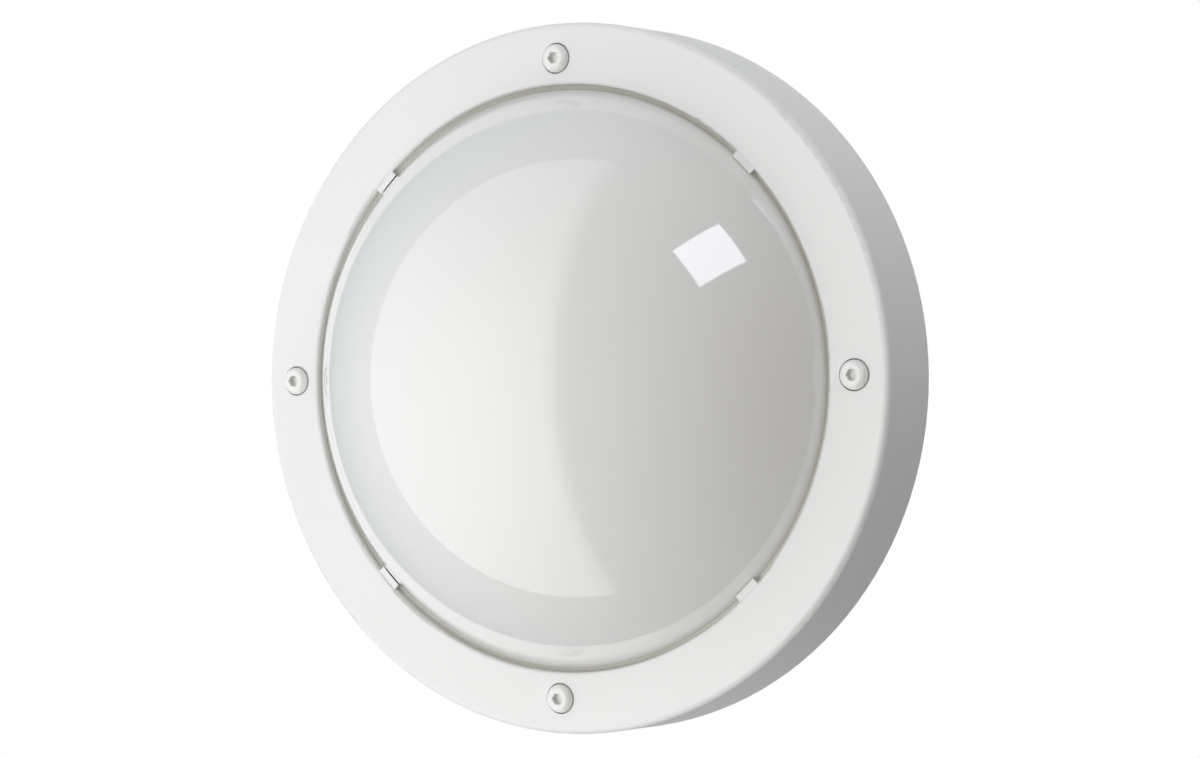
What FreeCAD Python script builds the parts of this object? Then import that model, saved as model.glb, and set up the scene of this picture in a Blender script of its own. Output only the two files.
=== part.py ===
import FreeCAD, Part
import math
import os
import re
import Sketcher
from FreeCAD import Placement, Rotation, Vector

# A round surface light: a base pan fixed flat to a wall or soffit, a cast ring with an opal dome
# held behind it, and four captive screws that pull the ring down on the pan.
# Every piece is drawn lying on its back: x to the right, y up, z out from the wall. It is then
# stood up, so that the light faces -Y and its mounting face lies in the plane Y = 0.

doc = FreeCAD.newDocument("soffit_light")
sheet = doc.addObject("Spreadsheet::Sheet", "Sizes")
size_names = []
pieces = []


# ---------------------------------------------------------------- sizes, in millimetres

def size(name, number, meaning):
    """Write one driving size on the next row of the sheet."""
    size_names.append(name)
    row = len(size_names)
    sheet.set(f"A{row}", meaning)
    sheet.set(f"B{row}", str(number))
    sheet.setAlias(f"B{row}", name)


size("face_height", 33.0, "ring's front face above the wall")
size("cover_radius", 130.0, "ring's outer radius at its front face")
size("skirt_flare", 1.7, "how much wider the skirt is at its rear edge")
size("wall_gap", 0.5, "skirt's rear edge above the wall")
size("cover_wall", 3.0, "thickness of the ring's plate and skirt")
size("opening_radius", 107.6, "round opening for the dome")
size("face_rounding", 2.5, "rounding of the ring's outer front edge")
size("bore_rounding", 1.1, "rounding of the opening's front edge")
size("screw_circle", 117.1, "radius of the circle that the cover screws stand on")
size("cover_boss_radius", 6.2, "cover's screw boss")
size("counterbore_radius", 5.7, "recess for the screw head in the ring's face")
size("counterbore_depth", 2.0, "depth of that recess")
size("screw_hole_clearance", 0.3, "round the cover screw in the cover's boss")
size("lug_width_angle", 5.1, "angle that one lug takes up beside the dome")
size("lug_clearance", 0.35, "between a lug and the dome")
size("lug_drop", 0.7, "lug's front below the ring's face")

size("dome_gap", 3.2, "between the dome and the opening, at the ring's face")
size("dome_rise", 60.0, "dome's apex above the ring's face")
size("dome_wall", 2.5, "thickness of the opal shell")
size("flange_thickness", 3.0, "diffuser's flange")
size("flange_clearance", 0.4, "between the flange and the cover's bosses")

size("clip_thickness", 0.8, "diffuser clip")
size("clip_width", 9.0, "diffuser clip")
size("clip_overlap", 2.0, "how far a clip reaches over the flange")
size("clip_boss_radius", 3.6, "boss for the clip's screw")
size("clip_screw_length", 5.0, "clip screw under its head")

size("screw_radius", 3.0, "M6 cover screw")
size("screw_length", 25.0, "cover screw under its head")
size("screw_head_radius", 5.25, "button head")
size("screw_head_height", 3.3, "button head")
size("screw_head_rounding", 2.4, "button head")
size("hex_key", 4.0, "across the flats of the socket")
size("hex_depth", 2.2, "depth of the socket")
size("thread_engagement", 8.0, "how deep a cover screw sits in the base, and its captive travel")
size("thread_clearance", 0.05, "running clearance of a screw in its thread")
size("washer_thickness", 1.0, "sealing washer under the head")
size("washer_side_gap", 0.35, "between the washer and the recess")
size("captive_thickness", 0.8, "retaining ring on the cover screw")
size("captive_radius", 4.5, "retaining ring on the cover screw")
size("captive_gap", 0.2, "between the retaining ring and the base's boss")

size("gasket_height", 4.0, "sealing ring between the pan and the diffuser")
size("gasket_width", 3.2, "sealing ring between the pan and the diffuser")
size("gasket_stand", 1.5, "how far the sealing ring stands out of its channel")
size("gasket_inset", 4.0, "from the flange's edge to the sealing ring's middle")
size("groove_clearance", 0.1, "beside a seal in its channel")

size("base_wall", 3.0, "thickness of the pan's floor")
size("skirt_clearance", 0.5, "between the pan's edge and the skirt")
size("edge_lip_height", 6.0, "turned-up edge of the pan")
size("edge_lip_wall", 2.5, "turned-up edge of the pan")
size("channel_wall", 2.1, "walls of the sealing channel")
size("channel_height", 5.5, "height of the sealing channel's thicker part")
size("rim_wall", 3.0, "wall that carries the sealing channel")
size("base_boss_radius", 6.0, "pan's screw boss")
size("boss_web", 4.0, "web between a boss and the rim")
size("boss_drill_floor", 2.0, "metal left under a screw hole")
size("back_seal_radius", 121.0, "middle of the seal behind the pan")
size("back_seal_width", 4.0, "seal behind the pan")
size("back_seal_depth", 1.5, "seal behind the pan")

size("fixing_spacing", 160.0, "between opposite wall-fixing slots")
size("slot_width", 5.5, "wall-fixing slot")
size("slot_length", 10.0, "wall-fixing slot, end to end")
size("slot_pad_margin", 4.0, "raised pad round a slot")
size("slot_pad_height", 2.0, "raised pad round a slot")
size("slot_seal_margin", 3.0, "width of the seal round a slot")
size("slot_seal_thickness", 1.0, "seal on a slot's pad")

size("entry_x", 48.0, "cable entries beside the middle")
size("entry_y", 52.0, "cable entries above the middle")
size("entry_radius", 8.0, "hole for a cable entry")
size("entry_recess_radius", 12.0, "recess for the grommet behind the pan")
size("entry_recess_depth", 1.5, "recess for the grommet behind the pan")
size("grommet_clearance", 0.1, "between a grommet's neck and its hole")
size("grommet_flange", 10.5, "radius of a grommet's inner flange")
size("grommet_flange_thickness", 1.5, "a grommet's inner flange")
size("grommet_nose", 5.5, "length of the cable grommet's nose")
size("grommet_wall", 1.5, "the cable grommet's wall at its tip")
size("cable_bore_radius", 4.5, "bore for the supply cable")

size("pillar_height", 26.0, "tray pillars above the pan's floor")
size("pillar_radius", 4.5, "tray pillars")
size("pillar_inset", 8.0, "from the tray's edge to its screws")
size("pillar_angle", 45.0, "place of the first pillar, from the right")
size("tray_thickness", 1.5, "gear tray")
size("tray_clearance", 4.7, "between the tray and the sealing channel")
size("tray_rim_drop", 4.0, "how far the tray's edge turns back")
size("tray_screw_length", 10.0, "tray screw under its head")

size("pad_thickness", 0.5, "thermal pad")
size("pad_inset", 2.0, "from the board's edge to the thermal pad's")
size("board_radius", 80.0, "round LED board")
size("board_thickness", 1.6, "LED board and driver board")
size("board_screw_circle", 48.0, "radius of the LED board's screws")
size("board_screw_length", 5.0, "LED board screw under its head")
size("chip_side", 3.0, "one LED")
size("chip_height", 0.7, "one LED")
size("inner_chip_circle", 32.0, "radius of the inner ring of LEDs")
size("outer_chip_circle", 64.0, "radius of the outer ring of LEDs")

size("small_screw_radius", 1.5, "M3 screw")
size("small_head_radius", 2.8, "M3 pan head")
size("small_head_height", 1.9, "M3 pan head")
size("middle_screw_radius", 2.0, "M4 screw")
size("middle_head_radius", 3.7, "M4 pan head")
size("middle_head_height", 2.4, "M4 pan head")
size("blind_depth", 2.0, "how deep the small fixings go into the pan's floor")

size("terminal_y", 42.0, "terminal block above the middle")
size("pole_pitch", 10.0, "between the poles of the terminal block")
size("terminal_depth", 20.0, "terminal block across its poles")
size("terminal_height", 15.0, "terminal block")
size("terminal_end", 6.0, "from the outer pole to the block's end")
size("terminal_ear", 6.6, "fixing ear beside the terminal block")
size("terminal_ear_thickness", 4.0, "fixing ear beside the terminal block")
size("contact_height", 6.5, "wires in the terminals above the pan's floor")
size("contact_side", 6.0, "brass contact")
size("contact_length", 16.0, "brass contact")
size("contact_bore_radius", 2.0, "bore for a wire in a contact")
size("contact_clearance", 0.1, "round a contact in the block")
size("clamp_screw_radius", 1.25, "clamping screw of a contact")
size("clamp_head_radius", 2.2, "clamping screw of a contact")
size("clamp_head_height", 1.5, "clamping screw of a contact")
size("clamp_spacing", 10.0, "between the two clamping screws of a pole")
size("wire_end_gap", 0.05, "between a clamping screw and its wire")

size("earth_x", 62.0, "earth screw beside the middle")
size("earth_y", 8.0, "earth screw above the middle")
size("earth_boss_radius", 5.0, "boss for the earth screw")
size("earth_thread", 5.0, "earth screw's length in its boss")
size("tag_thickness", 0.8, "ring tag and its washer")
size("tag_radius", 4.2, "ring tag and its washer")
size("tag_barrel_radius", 1.9, "crimped barrel of the tag")
size("tag_barrel_start", 6.0, "from the screw to the barrel")
size("tag_barrel_length", 6.0, "crimped barrel of the tag")

size("driver_x", 6.0, "driver beside the middle")
size("driver_y", -40.0, "driver above the middle")
size("driver_length", 96.0, "driver's case")
size("driver_width", 34.0, "driver's case")
size("driver_split", 10.0, "height of the case's lower shell")
size("driver_height", 21.0, "driver's case")
size("driver_wall", 1.6, "driver's case")
size("driver_ear", 8.0, "fixing ear of the driver")
size("driver_ear_width", 10.0, "fixing ear of the driver")
size("driver_ear_offset", 11.0, "fixing ear from the driver's middle")
size("driver_ear_thickness", 2.0, "fixing ear of the driver")
size("board_stand", 1.4, "posts that the driver's board rests on")
size("board_side_gap", 0.4, "between the driver's board and its case")
size("driver_terminal_length", 8.0, "terminals on the driver's board")

size("mains_wire_radius", 1.2, "live, neutral and earth leads")
size("led_wire_radius", 0.8, "leads to the LED board")
size("lead_hole_clearance", 0.2, "round a lead in the driver's case")
size("mains_wire_spacing", 6.0, "between the live and neutral leads")
size("led_wire_spacing", 3.2, "between the leads to the LED board")
size("mains_lead_x", -60.0, "where the neutral lead runs down beside the driver")
size("mains_lead_y", 8.0, "where the neutral lead runs across above the driver")
size("led_lead_x", 75.0, "where the outer LED lead runs up beside the driver")
size("clamp_reach", 3.0, "end of a lead in its terminal, from the middle")
size("tag_reach", 1.2, "end of the earth lead in the tag's barrel")
size("bush_y", -14.0, "bush in the tray above the middle")
size("bush_hole_radius", 5.0, "hole for the bush in the tray")
size("bush_bore_radius", 3.2, "bore of the bush")
size("bush_flange_radius", 6.3, "bush's flanges")
size("bush_flange_thickness", 1.4, "bush's flanges")
size("board_hole_radius", 7.0, "hole in the LED board round the bush")
size("connector_x", -18.0, "LED connector beside the middle")
size("connector_length", 9.0, "LED connector")
size("connector_width", 10.0, "LED connector")
size("connector_height", 7.0, "LED connector")
size("connector_wire_height", 4.4, "wires in the connector above the board")
size("connector_hole_depth", 2.2, "how deep the wires go into the connector")

doc.recompute()

# Heights above the wall, worked out from the sizes.
PLATE_BACK = "(face_height - cover_wall)"
FLANGE_BACK = f"({PLATE_BACK} - flange_thickness)"
GASKET_FLOOR = f"({FLANGE_BACK} - gasket_height)"
RIM_TOP = f"({FLANGE_BACK} - gasket_stand)"
CHANNEL_BACK = f"({RIM_TOP} - channel_height)"
WASHER_SEAT = "(face_height - counterbore_depth)"
HEAD_SEAT = f"({WASHER_SEAT} + washer_thickness)"
SCREW_TIP = f"({HEAD_SEAT} - screw_length)"
BASE_BOSS_TOP = f"({SCREW_TIP} + thread_engagement)"
CAPTIVE_BACK = f"({BASE_BOSS_TOP} + captive_gap)"
CAPTIVE_FRONT = f"({CAPTIVE_BACK} + captive_thickness)"
COVER_BOSS_BACK = f"({CAPTIVE_FRONT} + thread_engagement)"
PILLAR_TOP = "(base_wall + pillar_height)"
TRAY_TOP = f"({PILLAR_TOP} + tray_thickness)"
BOARD_BACK = f"({TRAY_TOP} + pad_thickness)"
BOARD_TOP = f"({BOARD_BACK} + board_thickness)"
WIRE_HEIGHT = "(base_wall + contact_height)"
EARTH_BOSS_TOP = f"({WIRE_HEIGHT} - tag_barrel_radius)"
DRIVER_SPLIT = "(base_wall + driver_split)"
DRIVER_BOARD_BACK = "(base_wall + driver_wall + board_stand)"
DRIVER_BOARD_TOP = f"({DRIVER_BOARD_BACK} + board_thickness)"
CONNECTOR_WIRE = f"({BOARD_TOP} + connector_wire_height)"

# Radii, worked out from the sizes.
DOME_MOUTH = "(opening_radius - dome_gap)"
DOME_RADIUS = f"(({DOME_MOUTH}^2 + dome_rise^2) / (2 * dome_rise))"
DOME_CENTRE = f"(face_height + dome_rise - {DOME_RADIUS})"
FLANGE_RADIUS = "(screw_circle - cover_boss_radius - flange_clearance)"
GASKET_MIDDLE = f"({FLANGE_RADIUS} - gasket_inset)"
CHANNEL_INNER = f"({GASKET_MIDDLE} - gasket_width / 2 - groove_clearance)"
CHANNEL_OUTER = f"({GASKET_MIDDLE} + gasket_width / 2 + groove_clearance)"
BASE_RADIUS = "(cover_radius - cover_wall - skirt_clearance)"
TRAY_RADIUS = f"({CHANNEL_INNER} - channel_wall - tray_clearance)"
PILLAR_CIRCLE = f"({TRAY_RADIUS} - pillar_inset)"
CLIP_CIRCLE = f"({FLANGE_RADIUS} + clip_boss_radius + 2 * flange_clearance)"
SCREW_THREAD = "(screw_radius + thread_clearance)"
SMALL_THREAD = "(small_screw_radius + thread_clearance)"
MIDDLE_THREAD = "(middle_screw_radius + thread_clearance)"

COVER_SCREWS = 4
TRAY_SCREWS = 3
INNER_CHIPS = 10
OUTER_CHIPS = 20

# The first cover screw is at the top, and each clip and lug stands midway between two screws.
CLIP_TURN = f"(90 - 180 / {COVER_SCREWS})"


# ---------------------------------------------------------------- ways of working

def cells(text):
    """The same sum, with each size written as a cell of the sheet."""
    return re.sub(r"[a-z][a-z_0-9]*", lambda word: "Sizes." * (word[0] in size_names) + word[0], text)


def amount(text):
    """The sum's value in millimetres."""
    return float(sheet.evalExpression(text))


def bind(thing, **settings):
    """Tie properties of an object to sums of the sheet's sizes."""
    for name, text in settings.items():
        thing.setExpression(name, cells(text))


def stand_up(piece, x="0", y="0"):
    """Stand a piece on the wall, with its own axis at x and y."""
    piece.Placement = Placement(Vector(), Rotation(Vector(1, 0, 0), 90))
    piece.setExpression(".Placement.Base.x", cells(x))
    piece.setExpression(".Placement.Base.z", cells(y))
    pieces.append(piece)


def new_body(name, x="0", y="0"):
    body = doc.addObject("PartDesign::Body", name)
    body.Label = name
    body.AllowCompound = True
    stand_up(body, x, y)
    return body


def origin_feature(body, role):
    return next(feature for feature in body.Origin.OriginFeatures if feature.Role == role)


def flat_sketch(body, name, height="0", turn="0"):
    """A sketch parallel to the wall, turned about the piece's axis."""
    sketch = body.newObject("Sketcher::SketchObject", name)
    sketch.AttachmentSupport = [(origin_feature(body, "XY_Plane"), "")]
    sketch.MapMode = "FlatFace"
    sketch.AttachmentOffset = Placement(Vector(), Rotation(Vector(0, 0, 1), amount(turn)))
    sketch.setExpression("AttachmentOffset.Base.z", cells(height))
    return sketch


def side_sketch(body, name, x="0", y="0", turn=0):
    """A sketch on a plane square to the wall through x and y: radius across, height upwards."""
    sketch = body.newObject("Sketcher::SketchObject", name)
    sketch.AttachmentSupport = [(origin_feature(body, "XZ_Plane"), "")]
    sketch.MapMode = "FlatFace"
    sketch.AttachmentOffset = Placement(Vector(), Rotation(Vector(0, 1, 0), turn))
    sketch.setExpression("AttachmentOffset.Base.x", cells(x))
    sketch.setExpression("AttachmentOffset.Base.z", cells(f"-({y})"))
    return sketch


def hold(sketch, geometry, point, x, y):
    """Dimension one point of a sketch from the sketch's origin."""
    for direction, text in (("DistanceX", x), ("DistanceY", y)):
        rule = Sketcher.Constraint(direction, -1, 1, geometry, point, amount(text))
        sketch.setExpression(f"Constraints[{sketch.addConstraint(rule)}]", cells(text))


def polygon(sketch, corners):
    """A closed outline of straight lines through the corners."""
    places = [Vector(amount(x), amount(y), 0) for x, y in corners]
    first = sketch.GeometryCount
    count = len(places)
    for index in range(count):
        line = Part.LineSegment(places[index], places[(index + 1) % count])
        sketch.addGeometry(line, False)
    for index in range(count):
        following = first + (index + 1) % count
        sketch.addConstraint(Sketcher.Constraint("Coincident", first + index, 2, following, 1))
        hold(sketch, first + index, 1, *corners[index])


def rectangle(sketch, x, y, width, depth):
    """A rectangle about the point x, y."""
    left = f"({x}) - ({width}) / 2"
    right = f"({x}) + ({width}) / 2"
    low = f"({y}) - ({depth}) / 2"
    high = f"({y}) + ({depth}) / 2"
    polygon(sketch, [(left, low), (right, low), (right, high), (left, high)])


def circle(sketch, x, y, radius):
    curve = Part.Circle(Vector(amount(x), amount(y), 0), Vector(0, 0, 1), amount(radius))
    index = sketch.addGeometry(curve, False)
    hold(sketch, index, 3, x, y)
    rule = Sketcher.Constraint("Radius", index, amount(radius))
    sketch.setExpression(f"Constraints[{sketch.addConstraint(rule)}]", cells(radius))


def slot(sketch, first_end, second_end, radius):
    """A slot: two half circles about the end points, joined by straight sides."""
    start = Vector(amount(first_end[0]), amount(first_end[1]), 0)
    finish = Vector(amount(second_end[0]), amount(second_end[1]), 0)
    along = math.atan2(finish.y - start.y, finish.x - start.x)
    side = Vector(-math.sin(along), math.cos(along), 0) * amount(radius)
    quarter = math.pi / 2
    ends = []
    for centre, low, high in ((start, along + quarter, along + 3 * quarter),
                              (finish, along - quarter, along + quarter)):
        arc = Part.ArcOfCircle(Part.Circle(centre, Vector(0, 0, 1), side.Length), low, high)
        ends.append(sketch.addGeometry(arc, False))
    left = sketch.addGeometry(Part.LineSegment(finish + side, start + side), False)
    right = sketch.addGeometry(Part.LineSegment(start - side, finish - side), False)
    joints = ((ends[1], 2, left, 1), (left, 2, ends[0], 1), (ends[0], 2, right, 1), (right, 2, ends[1], 1))
    for joint in joints:
        sketch.addConstraint(Sketcher.Constraint("Tangent", *joint))
    sketch.addConstraint(Sketcher.Constraint("Equal", ends[0], ends[1]))
    rule = Sketcher.Constraint("Radius", ends[0], side.Length)
    sketch.setExpression(f"Constraints[{sketch.addConstraint(rule)}]", cells(radius))
    hold(sketch, ends[0], 3, *first_end)
    hold(sketch, ends[1], 3, *second_end)


def revolve(body, name, profile, angle="360"):
    feature = body.newObject("PartDesign::Revolution", name)
    feature.Profile = profile
    feature.ReferenceAxis = (profile, ["V_Axis"])
    feature.Midplane = angle != "360"
    bind(feature, Angle=angle)
    doc.recompute()
    return feature


def pad(body, name, profile, height):
    feature = body.newObject("PartDesign::Pad", name)
    feature.Profile = profile
    bind(feature, Length=height)
    doc.recompute()
    return feature


def pocket(body, name, profile, depth, outwards=False):
    """Cut from the sketch towards the wall, or away from it."""
    before = body.Shape.Volume
    feature = body.newObject("PartDesign::Pocket", name)
    feature.Profile = profile
    feature.Reversed = outwards
    bind(feature, Length=depth)
    doc.recompute()
    if body.Shape.Volume >= before:
        raise RuntimeError(f"{body.Label}: {name} cuts nothing")
    return feature


def repeat_round(body, name, originals, count):
    pattern = body.newObject("PartDesign::PolarPattern", name)
    pattern.Originals = originals
    pattern.Axis = (origin_feature(body, "Z_Axis"), [""])
    pattern.Angle = 360
    pattern.Occurrences = count
    body.Tip = pattern
    doc.recompute()
    return pattern


def repeat_along(body, name, originals, length, count):
    pattern = body.newObject("PartDesign::LinearPattern", name)
    pattern.Originals = originals
    pattern.Direction = (origin_feature(body, "X_Axis"), [""])
    pattern.Occurrences = count
    bind(pattern, Length=length)
    body.Tip = pattern
    doc.recompute()
    return pattern


def round_edge(body, name, base, radius, height, rounding):
    """Round the circular edges of this radius at this height."""
    found = []
    for index, edge in enumerate(base.Shape.Edges, 1):
        if not isinstance(edge.Curve, Part.Circle):
            continue
        right_size = abs(edge.Curve.Radius - amount(radius)) < 0.01
        right_place = abs(edge.Curve.Center.z - amount(height)) < 0.01
        if right_size and right_place:
            found.append(f"Edge{index}")
    feature = body.newObject("PartDesign::Fillet", name)
    feature.Base = (base, found)
    bind(feature, Radius=rounding)
    doc.recompute()
    return feature


def turned(body, name, corners, x="0", y="0"):
    """A turned form about an axis through x and y, from its half section."""
    profile = side_sketch(body, f"{name}_section", x, y)
    polygon(profile, corners)
    return revolve(body, name, profile)


def block(body, name, x, y, bottom, width, depth, height):
    profile = flat_sketch(body, f"{name}_outline", bottom)
    rectangle(profile, x, y, width, depth)
    return pad(body, name, profile, height)


def post(body, name, x, y, bottom, radius, height, turn="0"):
    profile = flat_sketch(body, f"{name}_outline", bottom, turn)
    circle(profile, x, y, radius)
    return pad(body, name, profile, height)


def drill(body, name, x, y, top, radius, depth, turn="0", outwards=False):
    profile = flat_sketch(body, f"{name}_outline", top, turn)
    circle(profile, x, y, radius)
    return pocket(body, name, profile, depth, outwards)


def pan_head_screw(body, name, seat, length, thread, head_radius, head_height, x="0", y="0", inwards=1):
    """A pan-head screw on an axis through x and y. Its head lies past the seat, away from the tip."""
    tip = f"({seat}) - {inwards} * ({length})"
    crown = f"({seat}) + {inwards} * ({head_height})"
    shoulder = f"({seat}) + {inwards} * ({head_height}) * 0.55"
    corners = [("0", tip), (thread, tip), (thread, seat), (head_radius, seat),
               (head_radius, shoulder), (f"({head_radius}) * 0.72", crown), ("0", crown)]
    return turned(body, name, corners, x, y)


# ---------------------------------------------------------------- the cover

def make_cover_ring():
    """Cast ring: a flat face with a skirt, bosses behind it and four lugs beside the dome."""
    body = new_body("cover_ring")
    section = [("cover_radius + skirt_flare", "wall_gap"),
               ("cover_radius", "face_height"),
               ("opening_radius", "face_height"),
               ("opening_radius", PLATE_BACK),
               ("cover_radius - cover_wall", PLATE_BACK),
               ("cover_radius + skirt_flare - cover_wall", "wall_gap")]
    ring = turned(body, "ring", section)
    ring = round_edge(body, "face_edge", ring, "cover_radius", "face_height", "face_rounding")
    round_edge(body, "opening_edge", ring, "opening_radius", "face_height", "bore_rounding")

    height = f"{PLATE_BACK} - {COVER_BOSS_BACK}"
    boss = post(body, "boss", "0", "screw_circle", COVER_BOSS_BACK, "cover_boss_radius", height)
    repeat_round(body, "bosses", [boss], COVER_SCREWS)
    clip_boss = post(body, "clip_boss", CLIP_CIRCLE, "0", FLANGE_BACK, "clip_boss_radius",
                     "flange_thickness", turn=CLIP_TURN)
    repeat_round(body, "clip_bosses", [clip_boss], COVER_SCREWS)

    section = side_sketch(body, "lug_section", turn=amount(CLIP_TURN))
    lug_face = "(face_height - lug_drop)"
    reach = f"(({DOME_RADIUS} + lug_clearance)^2"
    inner_back = f"sqrt({reach} - ({PLATE_BACK} - {DOME_CENTRE})^2))"
    inner_front = f"sqrt({reach} - ({lug_face} - {DOME_CENTRE})^2))"
    root = "(opening_radius + bore_rounding)"
    polygon(section, [(inner_back, PLATE_BACK), (root, PLATE_BACK), (root, lug_face), (inner_front, lug_face)])
    lug = revolve(body, "lug", section, "lug_width_angle")
    repeat_round(body, "lugs", [lug], COVER_SCREWS)

    recess = drill(body, "recess", "0", "screw_circle", "face_height", "counterbore_radius",
                   "counterbore_depth")
    hole = drill(body, "screw_hole", "0", "screw_circle", WASHER_SEAT,
                 "screw_radius + screw_hole_clearance", f"{WASHER_SEAT} - {COVER_BOSS_BACK} + cover_wall")
    repeat_round(body, "screw_holes", [recess, hole], COVER_SCREWS)
    clip_hole = drill(body, "clip_hole", CLIP_CIRCLE, "0", FLANGE_BACK, SMALL_THREAD,
                      "clip_screw_length", turn=CLIP_TURN, outwards=True)
    repeat_round(body, "clip_holes", [clip_hole], COVER_SCREWS)


def ball(name, radius):
    sphere = doc.addObject("Part::Sphere", name)
    bind(sphere, Radius=radius)
    sphere.setExpression(".Placement.Base.z", cells(DOME_CENTRE))
    return sphere


def disc(name, radius, bottom, height):
    cylinder = doc.addObject("Part::Cylinder", name)
    bind(cylinder, Radius=radius, Height=height)
    cylinder.setExpression(".Placement.Base.z", cells(bottom))
    return cylinder


def make_diffuser():
    """Opal shell: a cap of a hollow sphere with a flat flange that the ring's plate covers."""
    outside = ball("dome_outside", DOME_RADIUS)
    inside = ball("dome_inside", f"{DOME_RADIUS} - dome_wall")
    room = disc("dome_room", FLANGE_RADIUS, FLANGE_BACK, f"2 * {DOME_RADIUS}")
    flange = disc("flange_disc", FLANGE_RADIUS, FLANGE_BACK, "flange_thickness")
    cap = doc.addObject("Part::Common", "dome_cap")
    cap.Base = outside
    cap.Tool = room
    solid = doc.addObject("Part::Fuse", "dome_and_flange")
    solid.Base = cap
    solid.Tool = flange
    shell = doc.addObject("Part::Cut", "diffuser")
    shell.Base = solid
    shell.Tool = inside
    shell.Label = "diffuser"
    stand_up(shell)


def make_diffuser_clips():
    """Four steel tabs screwed behind the ring, each over the flange's edge."""
    body = new_body("diffuser_clips")
    outline = flat_sketch(body, "clip_outline", f"{FLANGE_BACK} - clip_thickness", CLIP_TURN)
    inner = f"({FLANGE_RADIUS} - clip_overlap)"
    outer = f"({CLIP_CIRCLE} + clip_boss_radius)"
    rectangle(outline, f"({inner} + {outer}) / 2", "0", f"{outer} - {inner}", "clip_width")
    circle(outline, CLIP_CIRCLE, "0", f"{SMALL_THREAD} + thread_clearance")
    clip = pad(body, "clip", outline, "clip_thickness")
    repeat_round(body, "clips", [clip], COVER_SCREWS)


def make_clip_screws():
    body = new_body("clip_screws")
    seat = f"{FLANGE_BACK} - clip_thickness"
    x = f"{CLIP_CIRCLE} * cos({CLIP_TURN})"
    y = f"{CLIP_CIRCLE} * sin({CLIP_TURN})"
    screw = pan_head_screw(body, "clip_screw", seat, "clip_screw_length", "small_screw_radius",
                           "small_head_radius", "small_head_height", x, y, inwards=-1)
    repeat_round(body, "screws", [screw], COVER_SCREWS)


# ---------------------------------------------------------------- the cover screws

def make_cover_screw(number, x, y):
    """Button-head screw with a hexagon socket and a pointed tip."""
    body = new_body(f"cover_screw_{number}", x, y)
    crown = f"({HEAD_SEAT} + screw_head_height)"
    point = "screw_radius / 4"
    shank = [("0", SCREW_TIP), (f"screw_radius - {point}", SCREW_TIP),
             ("screw_radius", f"{SCREW_TIP} + {point}"), ("screw_radius", HEAD_SEAT),
             ("screw_head_radius", HEAD_SEAT), ("screw_head_radius", crown), ("0", crown)]
    screw = turned(body, "screw", shank)
    round_edge(body, "head_edge", screw, "screw_head_radius", crown, "screw_head_rounding")
    socket = flat_sketch(body, "socket_outline", crown)
    corner = "(hex_key / sqrt(3))"
    polygon(socket, [(f"{corner} * cos({60 * turn})", f"{corner} * sin({60 * turn})") for turn in range(6)])
    pocket(body, "socket", socket, "hex_depth")


def make_seal_washer(number, x, y):
    body = new_body(f"seal_washer_{number}", x, y)
    outer = "counterbore_radius - washer_side_gap"
    turned(body, "washer", [(SCREW_THREAD, WASHER_SEAT), (outer, WASHER_SEAT),
                            (outer, HEAD_SEAT), (SCREW_THREAD, HEAD_SEAT)])


def make_captive_ring(number, x, y):
    """Ring on the thread that keeps the undone screw in the cover."""
    body = new_body(f"captive_ring_{number}", x, y)
    turned(body, "ring", [(SCREW_THREAD, CAPTIVE_BACK), ("captive_radius", CAPTIVE_BACK),
                          ("captive_radius", CAPTIVE_FRONT), (SCREW_THREAD, CAPTIVE_FRONT)])


# ---------------------------------------------------------------- the base and its seals

def slot_ends(sign, upright):
    """The middles of a wall-fixing slot's two round ends."""
    reach = "(slot_length - slot_width) / 2"
    ends = [f"{sign} * fixing_spacing / 2 - {reach}", f"{sign} * fixing_spacing / 2 + {reach}"]
    return [("0", end) if upright else (end, "0") for end in ends]


def all_slots(sketch, margin):
    for upright in (False, True):
        for sign in (-1, 1):
            slot(sketch, *slot_ends(sign, upright), f"slot_width / 2 + {margin}")


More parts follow.
